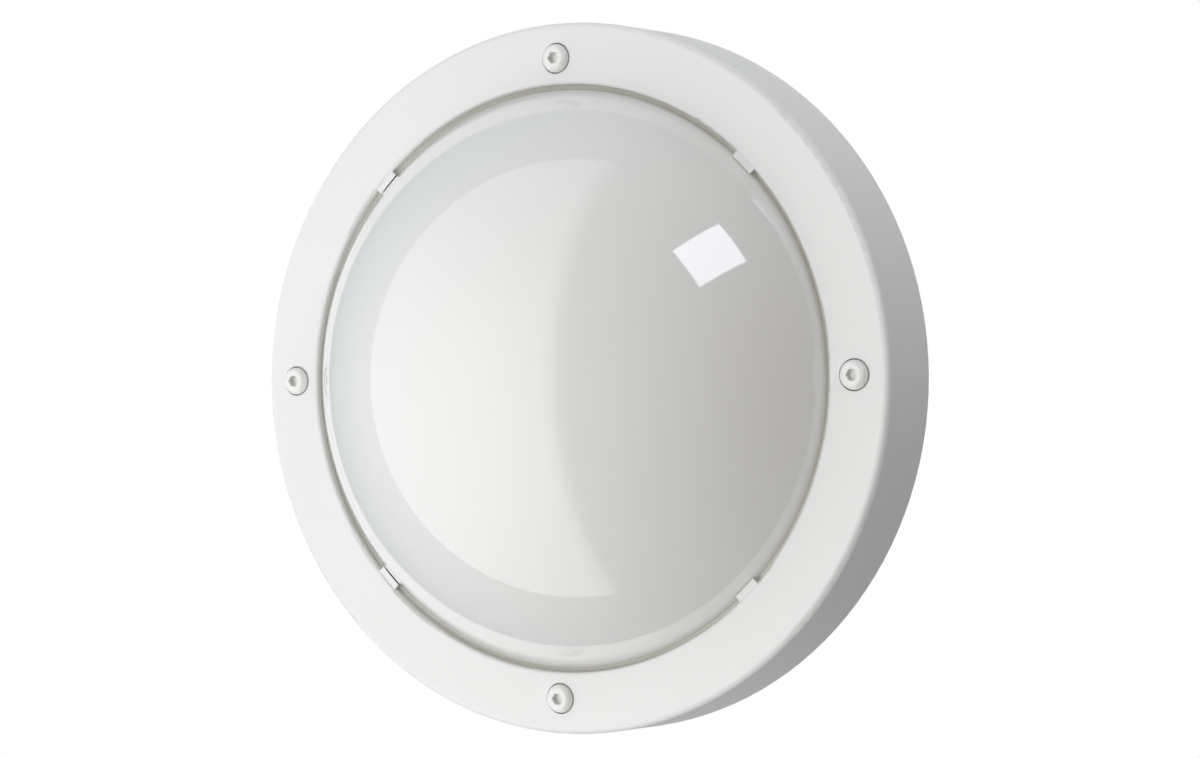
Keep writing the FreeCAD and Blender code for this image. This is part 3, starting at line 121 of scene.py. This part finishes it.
def new_finish(name, first, second, patch_mm, roughness, grain_mm, relief_mm, **shader):
    """A surface whose colour drifts between two tones in patches and whose grain is raised a little."""
    material = bpy.data.materials.new(name)
    material.use_nodes = True
    tree = material.node_tree
    tree.nodes.clear()
    place = add_node(tree, "ShaderNodeTexCoord")
    patches = add_node(tree, "ShaderNodeTexNoise", None,
                       {"Vector": place.outputs["Object"], "Scale": 1 / (patch_mm * MM),
                        "Detail": PATCH_DETAIL})
    tone = add_node(tree, "ShaderNodeMix", {"data_type": "RGBA"},
                    {0: patches.outputs[0], FIRST_COLOUR: linear(first), SECOND_COLOUR: linear(second)})
    grain = add_node(tree, "ShaderNodeTexNoise", None,
                     {"Vector": place.outputs["Object"], "Scale": 1 / (grain_mm * MM),
                      "Detail": GRAIN_DETAIL})
    gloss = add_node(tree, "ShaderNodeMapRange", None,
                     {"Value": grain.outputs[0], "To Min": roughness * (1 - GLOSS_SPREAD),
                      "To Max": roughness * (1 + GLOSS_SPREAD)})
    relief = add_node(tree, "ShaderNodeBump", None,
                      {"Height": grain.outputs[0], "Distance": relief_mm * MM, "Strength": 1.0})
    surface = add_node(tree, "ShaderNodeBsdfPrincipled", None,
                       {"Base Color": tone.outputs[MIXED_COLOUR], "Roughness": gloss.outputs[0],
                        "Normal": relief.outputs[0]})
    for socket, value in shader.items():
        surface.inputs[socket.replace("_", " ")].default_value = value
    add_node(tree, "ShaderNodeOutputMaterial", None, {"Surface": surface.outputs[0]})
    return material


def new_piece(name, mesh_maker):
    """An object in the scene from a finished bmesh, which is freed."""
    mesh = bpy.data.meshes.new(name)
    mesh_maker.to_mesh(mesh)
    mesh_maker.free()
    piece = bpy.data.objects.new(name, mesh)
    bpy.context.scene.collection.objects.link(piece)
    return piece


def spin_outline(outline, steps):
    """A closed turned form about the light's axis, from its half section of (radius, y) points."""
    form = bmesh.new()
    corners = [form.verts.new((radius, y, 0)) for radius, y in outline]
    edges = [form.edges.new(pair) for pair in zip(corners, corners[1:])]
    bmesh.ops.spin(form, geom=corners + edges, axis=(0, 1, 0), cent=(0, 0, 0), angle=2 * math.pi,
                   steps=steps, use_merge=True)
    bmesh.ops.remove_doubles(form, verts=form.verts, dist=MERGE_DISTANCE)
    bmesh.ops.recalc_face_normals(form, faces=form.faces)
    return form


def shade_by_angle(piece, degrees):
    """Smooth shading that keeps the edges sharper than the angle."""
    for face in piece.data.polygons:
        face.use_smooth = True
    piece.data.set_sharp_from_angle(angle=math.radians(degrees))


dome_low, dome_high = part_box("diffuser")
flange_radius = dome_high[0]
flange_back = dome_high[1]
flange_front = flange_back - FLANGE_THICKNESS
apex = dome_low[1]
dome_rise = FACE_Y - apex
sphere_radius = (DOME_MOUTH ** 2 + dome_rise ** 2) / (2 * dome_rise)
sphere_y = apex + sphere_radius


def sphere_point(radius, angle):
    """The (radius, y) point of a dome's surface at an angle from its top."""
    return (radius * math.sin(angle), sphere_y - radius * math.cos(angle))


def angle_at(radius, y):
    """The angle from the top at which a dome's surface reaches y."""
    return math.acos((sphere_y - y) / radius)


outer_end = angle_at(sphere_radius, flange_front)
inner_radius = sphere_radius - DOME_WALL
inner_end = angle_at(inner_radius, flange_back)
outside = [sphere_point(sphere_radius, outer_end * step / DOME_STEPS) for step in range(DOME_STEPS + 1)]
inside = [sphere_point(inner_radius, inner_end * step / DOME_STEPS) for step in range(DOME_STEPS, -1, -1)]
flange = [(flange_radius, flange_front), (flange_radius, flange_back)]
opal_dome = new_piece("opal_dome", spin_outline(outside + flange + inside, DOME_TURN_STEPS))
shade_by_angle(opal_dome, DOME_SHARP_ANGLE)

# A milky body under a polished skin: a soft even white with sharp reflections on top.
opal_polycarbonate = new_finish("polished_opal_polycarbonate", OPAL_DEEP, OPAL_CLEAR, patch_mm=60,
                                roughness=0.045, grain_mm=9, relief_mm=0.002, IOR=1.58, Coat_Weight=1.0,
                                Coat_Roughness=0.03)

# Painted shade: below the ring's face, in the narrow gap beside the ring, the shell is painted grey and
# dull in place of the shade there.
PAINTED_GAP_SHADE = "C6C5BC"
GAP_SHADE_START = FACE_Y + 0.5 * MM
GAP_SHADE_FULL = FACE_Y + 2.8 * MM
GAP_SHADE_ROUGHNESS = 0.8

tree = opal_polycarbonate.node_tree
surface = next(node for node in tree.nodes if node.type == "BSDF_PRINCIPLED")
place = add_node(tree, "ShaderNodeTexCoord")
axes = add_node(tree, "ShaderNodeSeparateXYZ", None, {0: place.outputs["Object"]})
gap_shade = add_node(tree, "ShaderNodeMapRange", None,
                {"Value": axes.outputs[1], "From Min": GAP_SHADE_START, "From Max": GAP_SHADE_FULL})
# Painted shade: the shell's tone is mixed towards grey by the gap mask, and its roughness and coat follow
# the same mask.
gap_shaded = add_node(tree, "ShaderNodeMix", {"data_type": "RGBA"},
                 {0: gap_shade.outputs[0], FIRST_COLOUR: surface.inputs["Base Color"].links[0].from_socket,
                  SECOND_COLOUR: linear(PAINTED_GAP_SHADE)})
dull = add_node(tree, "ShaderNodeMix", None,
                {0: gap_shade.outputs[0], FIRST_NUMBER: surface.inputs["Roughness"].links[0].from_socket,
                 SECOND_NUMBER: GAP_SHADE_ROUGHNESS})
coat = add_node(tree, "ShaderNodeMath", {"operation": "SUBTRACT"}, {0: 1.0, 1: gap_shade.outputs[0]})
tree.links.new(gap_shaded.outputs[MIXED_COLOUR], surface.inputs["Base Color"])
tree.links.new(dull.outputs[0], surface.inputs["Roughness"])
tree.links.new(coat.outputs[0], surface.inputs["Coat Weight"])
opal_dome.data.materials.append(opal_polycarbonate)
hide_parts("diffuser")
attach(opal_dome, "cover")


# ---------------------------------------------------------------- ring
# The ring is one die casting in aluminium with a flat face and a turned-back skirt. It is powder
# coated white: even, half glossy, with a very fine orange peel.
def dress(names, material):
    """Give CAD nodes a finish."""
    for node_name in names:
        node = nodes[node_name]
        if not node.material_slots:
            node.data.materials.append(material)
        for slot in node.material_slots:
            slot.material = material


POWDER_DARK = "E5E5E4"
POWDER_LIGHT = "E7E7E6"

# Baked powder: half glossy, so the lights spread into soft gradients and no edge shows in it.
powder_coat = new_finish("white_powder_coat", POWDER_DARK, POWDER_LIGHT, patch_mm=40, roughness=0.42,
                         grain_mm=0.9, relief_mm=0.012, IOR=1.5)
dress(["cover_ring"], powder_coat)


# ---------------------------------------------------------------- cover screws
# Four M6 button-head steel screws, each with a hexagon socket and gloss white enamel on it. Under
# its head is a nylon-faced sealing washer, and a nylon ring on its thread keeps it in the cover.
COVER_SCREWS = 4
ENAMEL_DARK = "E6E6E4"
ENAMEL_LIGHT = "EAEAE8"
NYLON_DARK = "DEDDD6"
NYLON_LIGHT = "E4E3DD"

# Sprayed enamel: a small sharp highlight on each round head, and a shaded socket.
enamel = new_finish("gloss_white_enamel", ENAMEL_DARK, ENAMEL_LIGHT, patch_mm=4, roughness=0.12,
                    grain_mm=0.8, relief_mm=0.004, IOR=1.5, Coat_Weight=1.0, Coat_Roughness=0.06)

# Moulded nylon: a warm, slightly waxy white with a dull sheen.
nylon = new_finish("moulded_white_nylon", NYLON_DARK, NYLON_LIGHT, patch_mm=12, roughness=0.5,
                   grain_mm=0.6, relief_mm=0.01, IOR=1.53)
for number in range(1, COVER_SCREWS + 1):
    dress([f"cover_screw_{number}"], enamel)
    dress([f"seal_washer_{number}", f"captive_ring_{number}"], nylon)


# ---------------------------------------------------------------- pan, seals and grommets
# The back pan is a bare aluminium die casting, lightly blasted. Black EPDM grommets and seals are
# pushed into it, and the dome beds on a white silicone gasket.
CAST_DARK = "B9BABC"
CAST_LIGHT = "C6C7C8"
RUBBER_DARK = "1A1A1A"
RUBBER_LIGHT = "222222"
SILICONE_DARK = "D6D6D2"
SILICONE_LIGHT = "DEDEDA"

# Blasted aluminium: a dull grey metal with a fine even grit in it.
cast_aluminium = new_finish("blasted_cast_aluminium", CAST_DARK, CAST_LIGHT, patch_mm=25, roughness=0.5,
                            grain_mm=0.5, relief_mm=0.03, Metallic=1.0)
dress(["base_pan"], cast_aluminium)

# EPDM rubber: almost black and nearly without gloss.
black_rubber = new_finish("black_EPDM_rubber", RUBBER_DARK, RUBBER_LIGHT, patch_mm=15, roughness=0.72,
                          grain_mm=0.5, relief_mm=0.02, IOR=1.52)
dress(["back_seal", "cable_grommet", "blanking_grommet", "slot_seals", "lead_bush"], black_rubber)

# Moulded silicone: a flat milky white.
silicone = new_finish("white_silicone_rubber", SILICONE_DARK, SILICONE_LIGHT, patch_mm=15, roughness=0.6,
                      grain_mm=0.5, relief_mm=0.01, IOR=1.41)
dress(["diffuser_gasket"], silicone)


# ---------------------------------------------------------------- metal fixings
# Pressed clips and steel screws, zinc plated bright, with drawn brass contacts in the terminals and
# a tinned copper tag that is screwed to the pan for the earth lead.
ZINC_BLUE = "C3C6CA"
ZINC_LIGHT = "D2D3D2"
BRASS_DEEP = "C9A85A"
BRASS_LIGHT = "D4B468"
TIN_DARK = "C9C7C2"
TIN_LIGHT = "D3D1CC"

# Bright zinc plate: a satin metal with a faint blue cast.
zinc = new_finish("bright_zinc_plate", ZINC_BLUE, ZINC_LIGHT, patch_mm=6, roughness=0.32, grain_mm=0.3,
                  relief_mm=0.006, Metallic=1.0)
dress(["terminal_screws", "terminal_fixings", "earth_washer", "earth_screw", "driver_screws",
       "tray_screws", "led_board_screws", "diffuser_clips", "clip_screws"], zinc)

# Drawn brass: a clean warm yellow metal.
brass = new_finish("drawn_brass", BRASS_DEEP, BRASS_LIGHT, patch_mm=5, roughness=0.3, grain_mm=0.3,
                   relief_mm=0.005, Metallic=1.0)
dress(["terminal_contacts"], brass)

# Tinned copper: a soft, slightly warm silver.
tin = new_finish("tinned_copper", TIN_DARK, TIN_LIGHT, patch_mm=4, roughness=0.35, grain_mm=0.4,
                 relief_mm=0.008, Metallic=1.0)
dress(["earth_tag"], tin)


# ---------------------------------------------------------------- terminals and driver
# The terminal block and LED connector are moulded nylon. The driver is a light grey moulded box that
# holds a green board with black moulded parts soldered to it.
CASE_DARK = "CFD0CF"
CASE_LIGHT = "D6D7D5"
RESIST_DARK = "1E5E34"
RESIST_LIGHT = "23683B"
EPOXY_DARK = "1B1B1D"
EPOXY_LIGHT = "242427"

dress(["terminal_block", "led_connector"], nylon)

# Moulded polycarbonate with a fine spark-eroded texture: an even light grey, half dull.
case_plastic = new_finish("moulded_light_grey_polycarbonate", CASE_DARK, CASE_LIGHT, patch_mm=20,
                          roughness=0.45, grain_mm=0.5, relief_mm=0.015, IOR=1.58)
dress(["driver_case", "driver_cover"], case_plastic)

# Solder resist: a deep green lacquer with some gloss.
resist = new_finish("green_solder_resist", RESIST_DARK, RESIST_LIGHT, patch_mm=8, roughness=0.35,
                    grain_mm=0.5, relief_mm=0.01, IOR=1.55)
dress(["driver_board"], resist)

# Moulded epoxy: plain dull black.
black_mould = new_finish("black_moulded_epoxy", EPOXY_DARK, EPOXY_LIGHT, patch_mm=5, roughness=0.5,
                         grain_mm=0.3, relief_mm=0.01, IOR=1.55)
dress(["driver_components"], black_mould)


# ---------------------------------------------------------------- tray and LED board
# A pressed steel tray, painted gloss white, carries the LED board on a grey silicone pad. The board
# has white solder resist and two rings of LEDs under yellow phosphor.
TRAY_DARK = "ECECEA"
TRAY_LIGHT = "F0F0EE"
PAD_DARK = "8F9398"
PAD_LIGHT = "989CA0"
BOARD_DARK = "EFEFEC"
BOARD_LIGHT = "F3F3F0"
PHOSPHOR_DEEP = "E8C23A"
PHOSPHOR_LIGHT = "F2D25A"

# Gloss paint on steel: a bright reflector with a slight orange peel.
tray_paint = new_finish("gloss_white_tray_paint", TRAY_DARK, TRAY_LIGHT, patch_mm=30, roughness=0.28,
                        grain_mm=1.2, relief_mm=0.01, IOR=1.5)
dress(["gear_tray"], tray_paint)

# Filled silicone: soft, grey and quite dull.
gap_pad = new_finish("grey_silicone_gap_pad", PAD_DARK, PAD_LIGHT, patch_mm=10, roughness=0.8,
                     grain_mm=0.6, relief_mm=0.03, IOR=1.41)
dress(["thermal_pad"], gap_pad)

# White solder resist: a clean white lacquer that throws the light forwards.
white_resist = new_finish("white_solder_resist", BOARD_DARK, BOARD_LIGHT, patch_mm=15, roughness=0.3,
                          grain_mm=0.6, relief_mm=0.008, IOR=1.55)
dress(["led_board"], white_resist)

# Phosphor under clear silicone: small glossy yellow squares.
phosphor = new_finish("yellow_phosphor_under_silicone", PHOSPHOR_DEEP, PHOSPHOR_LIGHT, patch_mm=1.5,
                      roughness=0.12, grain_mm=0.5, relief_mm=0.01, IOR=1.41)
dress(["led_chips"], phosphor)


# ---------------------------------------------------------------- leads
# Stranded copper wires inside the light, in extruded PVC sleeves: brown, blue and striped green and
# yellow on the mains side, red and black from the driver to the LED board.
EARTH_GREEN = "3E8A2A"
EARTH_YELLOW = "D8CE2C"
STRIPE_WIDTH = 6 * MM
STRIPE_EDGE = (0.45, 0.55)
# At a scale of 1, the band texture takes this far for one half of its wave.
HALF_WAVE = 0.1 * math.pi
SLEEVE = {"patch_mm": 3, "roughness": 0.4, "grain_mm": 0.5, "relief_mm": 0.01, "IOR": 1.53}

# Extruded PVC: plain even colours with a low sheen.
for lead, name, first, second in (("live_lead", "brown_PVC_sleeve", "6A3A1C", "75401F"),
                                  ("neutral_lead", "blue_PVC_sleeve", "1C4FA0", "2258AC"),
                                  ("led_positive_lead", "red_PVC_sleeve", "A81818", "B52020"),
                                  ("led_negative_lead", "black_PVC_sleeve", "161616", "1E1E1E")):
    dress([lead], new_finish(name, first, second, **SLEEVE))

# The earth lead's two colours alternate in bands, coarser than the real stripes so that they show.
stripes = new_finish("green_and_yellow_PVC_sleeve", EARTH_GREEN, EARTH_YELLOW, **SLEEVE)
tree = stripes.node_tree
place = add_node(tree, "ShaderNodeTexCoord")
bands = add_node(tree, "ShaderNodeTexWave", {"wave_type": "BANDS", "bands_direction": "DIAGONAL"},
                 {"Vector": place.outputs["Object"], "Scale": HALF_WAVE / STRIPE_WIDTH,
                  "Distortion": 0.0})
edge = add_node(tree, "ShaderNodeMapRange", None,
                {"Value": bands.outputs[1], "From Min": STRIPE_EDGE[0], "From Max": STRIPE_EDGE[1]})
tone = next(node for node in tree.nodes if node.type == "MIX")
tree.links.new(edge.outputs[0], tone.inputs[0])
dress(["earth_lead"], stripes)


# ---------------------------------------------------------------- floor
# A round studio floor in matt white paint. It lies well below the light and out of the picture, and
# doesn't show in the dome's reflections.
FLOOR_DROP = 0.62
FLOOR_RADIUS = 0.75
FLOOR_SEGMENTS = 96
FLOOR_DARK = "F0F0F0"
FLOOR_LIGHT = "F4F4F4"

floor_shape = bmesh.new()
bmesh.ops.create_circle(floor_shape, cap_ends=True, radius=FLOOR_RADIUS, segments=FLOOR_SEGMENTS,
                        matrix=Matrix.Translation((0, 0, ring_low[2] - FLOOR_DROP)))
floor = new_piece("studio_floor", floor_shape)

# Matt paint: a soft white that throws light back up at the skirt, with no reflections.
floor.data.materials.append(new_finish("matt_white_paint", FLOOR_DARK, FLOOR_LIGHT, patch_mm=80,
                                       roughness=0.7, grain_mm=2, relief_mm=0.01))
floor.visible_glossy = False


# ---------------------------------------------------------------- front tent
# A quarter of a white diffusing tent round the left and front of the light, faded out at its right
# edge. It gives the dome its broad bright half-moon.
TENT_RADIUS = 1.5
TENT_ROUND_STEPS = 96
TENT_HEIGHT_STEPS = 64
TENT_REAR = -0.19 * TENT_RADIUS
TENT_RIGHT = 0.08 * TENT_RADIUS
TENT_FADE_START = -0.08 * TENT_RADIUS
TENT_STRENGTH = 1.45
TENT_REAR_SHARE = 0.70
TENT_COLOUR = "FDFEFF"


def glow(name, hex_colour, strength):
    """A light's surface, with its node tree and its emission node."""
    material = bpy.data.materials.new(name)
    material.use_nodes = True
    tree = material.node_tree
    tree.nodes.clear()
    light = add_node(tree, "ShaderNodeEmission", None,
                     {"Color": linear(hex_colour), "Strength": strength})
    add_node(tree, "ShaderNodeOutputMaterial", None, {"Surface": light.outputs[0]})
    return material, tree, light


tent_shape = bmesh.new()
bmesh.ops.create_uvsphere(tent_shape, u_segments=TENT_ROUND_STEPS, v_segments=TENT_HEIGHT_STEPS,
                          radius=TENT_RADIUS)
for cut_place, cut_normal in (((0, TENT_REAR, 0), (0, 1, 0)), ((TENT_RIGHT, 0, 0), (1, 0, 0))):
    whole = tent_shape.verts[:] + tent_shape.edges[:] + tent_shape.faces[:]
    bmesh.ops.bisect_plane(tent_shape, geom=whole, plane_co=cut_place, plane_no=cut_normal,
                           clear_outer=True)
tent = new_piece("front_tent", tent_shape)
tent_light, tree, light = glow("front_tent_light", TENT_COLOUR, TENT_STRENGTH)
place = add_node(tree, "ShaderNodeTexCoord")
axes = add_node(tree, "ShaderNodeSeparateXYZ", None, {0: place.outputs["Object"]})
fade = add_node(tree, "ShaderNodeMapRange", {"interpolation_type": "SMOOTHSTEP"},
                {"Value": axes.outputs[0], "From Min": TENT_FADE_START, "From Max": TENT_RIGHT,
                 "To Min": 1.0, "To Max": 0.0})
rear_fade = add_node(tree, "ShaderNodeMapRange", None,
                     {"Value": axes.outputs[1], "From Min": TENT_REAR, "From Max": -TENT_RADIUS,
                      "To Min": TENT_STRENGTH * TENT_REAR_SHARE, "To Max": TENT_STRENGTH})
tree.links.new(rear_fade.outputs[0], light.inputs["Strength"])
clear = add_node(tree, "ShaderNodeBsdfTransparent")
both = add_node(tree, "ShaderNodeMixShader", None,
                {0: fade.outputs[0], 1: clear.outputs[0], 2: light.outputs[0]})
output = next(node for node in tree.nodes if node.type == "OUTPUT_MATERIAL")
tree.links.new(both.outputs[0], output.inputs["Surface"])
tent.data.materials.append(tent_light)
tent.visible_camera = False


# ---------------------------------------------------------------- small window
# A small bright softbox high on the right, seen in the dome as a tilted square, and a thin strip
# light behind it, seen as a line along the dome's right edge. Both are flat white diffusers.
WINDOW_DISTANCE = 1.3
WINDOW_FROM = Vector((74, -57, 41)) * MM
WINDOW_CORNERS = ((0.496, -0.513, 0.701), (0.583, -0.182, 0.792), (0.772, -0.186, 0.608),
                  (0.687, -0.524, 0.503))
WINDOW_STRENGTH = 4.8
WINDOW_COLOUR = "F4F6FF"
STRIP_CORNERS = ((0.550, 0.115, 0.827), (0.553, 0.140, 0.822), (0.797, 0.148, 0.586),
                 (0.799, 0.126, 0.588))
STRIP_STRENGTH = 1.8

for name, corners, strength in (("small_window", WINDOW_CORNERS, WINDOW_STRENGTH),
                                ("thin_strip", STRIP_CORNERS, STRIP_STRENGTH)):
    window_shape = bmesh.new()
    window_shape.faces.new([window_shape.verts.new(WINDOW_FROM + Vector(corner) * WINDOW_DISTANCE)
                            for corner in corners])
    window = new_piece(name, window_shape)
    light_material = glow(f"{name}_light", WINDOW_COLOUR, strength)[0]
    window.data.materials.append(light_material)
    window.visible_camera = False


# ---------------------------------------------------------------- fills
# Three soft lights: a low one in front brightens the lower half of the ring's face, one on the right
# opens up the dome's shaded side, and a high one behind lights the upper part of the skirt.
LOW_PLACE = Vector((-0.22, -0.72, -0.62))
LOW_SIZE = 0.6
LOW_POWER = 2.9
SIDE_PLACE = Vector((0.55, -0.75, 0.0))
SIDE_SIZE = 0.5
SIDE_POWER = 0.8
SIDE_COLOUR = "FFF2E4"
PLAIN_COLOUR = "FFFFFF"
REAR_PLACE = Vector((0.35, 0.35, 0.90))
REAR_SIZE = 0.5
REAR_POWER = 2.0

for name, place, size, power, colour in (("low_fill", LOW_PLACE, LOW_SIZE, LOW_POWER, PLAIN_COLOUR),
                                         ("side_fill", SIDE_PLACE, SIDE_SIZE, SIDE_POWER, SIDE_COLOUR),
                                         ("rear_fill", REAR_PLACE, REAR_SIZE, REAR_POWER, PLAIN_COLOUR)):
    fill_data = bpy.data.lights.new(name, "AREA")
    fill_data.size = size
    fill_data.energy = power
    fill_data.color = linear(colour)[:3]
    fill = bpy.data.objects.new(name, fill_data)
    aim = (-place).to_track_quat("-Z", "Y").to_matrix().to_4x4()
    fill.matrix_world = Matrix.Translation(place) @ aim
    fill.visible_camera = False
    fill.visible_glossy = False
    bpy.context.scene.collection.objects.link(fill)


# ---------------------------------------------------------------- surround
# A dim studio room with pale walls, cool on the left and warmer on the right. It is lighter overhead,
# on the left and behind. The camera sees white background paper in its place.
ROOM_COOL = "ECF6FA"
ROOM_WARM = "FAF8F7"
ROOM_LOW = 0.07
ROOM_HIGH = 0.46
ROOM_LEFT = 0.27
ROOM_BACK = 0.12
ROOM_LOW_END = -0.7
BACK_START = 0.1
BACK_FULL = 0.6
TINT_REACH = 0.6
PAPER_WHITE = "FFFFFF"
PAPER_STRENGTH = 1.0

world = bpy.data.worlds.new("studio")
bpy.context.scene.world = world
world.use_nodes = True
tree = world.node_tree
tree.nodes.clear()
way = add_node(tree, "ShaderNodeTexCoord")
axes = add_node(tree, "ShaderNodeSeparateXYZ", None, {0: way.outputs["Generated"]})
level = add_node(tree, "ShaderNodeMapRange", None,
                 {"Value": axes.outputs[2], "From Min": ROOM_LOW_END, "From Max": 1.0,
                  "To Min": ROOM_LOW, "To Max": ROOM_HIGH})
leftwards = add_node(tree, "ShaderNodeMapRange", None,
                     {"Value": axes.outputs[0], "From Min": 0.0, "From Max": -1.0,
                      "To Min": 0.0, "To Max": ROOM_LEFT})
level = add_node(tree, "ShaderNodeMath", {"operation": "ADD"},
                 {0: level.outputs[0], 1: leftwards.outputs[0]})
backwards = add_node(tree, "ShaderNodeMapRange", None,
                     {"Value": axes.outputs[1], "From Min": BACK_START, "From Max": BACK_FULL,
                      "To Min": 0.0, "To Max": ROOM_BACK})
level = add_node(tree, "ShaderNodeMath", {"operation": "ADD"},
                 {0: level.outputs[0], 1: backwards.outputs[0]})
tint_share = add_node(tree, "ShaderNodeMapRange", None,
                      {"Value": axes.outputs[0], "From Min": -TINT_REACH, "From Max": TINT_REACH})
tint = add_node(tree, "ShaderNodeMix", {"data_type": "RGBA"},
                {0: tint_share.outputs[0], FIRST_COLOUR: linear(ROOM_COOL),
                 SECOND_COLOUR: linear(ROOM_WARM)})
room = add_node(tree, "ShaderNodeBackground", None,
                {"Color": tint.outputs[MIXED_COLOUR], "Strength": level.outputs[0]})
paper = add_node(tree, "ShaderNodeBackground", None,
                 {"Color": linear(PAPER_WHITE), "Strength": PAPER_STRENGTH})
rays = add_node(tree, "ShaderNodeLightPath")
both = add_node(tree, "ShaderNodeMixShader", None,
                {0: rays.outputs["Is Camera Ray"], 1: room.outputs[0], 2: paper.outputs[0]})
add_node(tree, "ShaderNodeOutputWorld", None, {"Surface": both.outputs[0]})
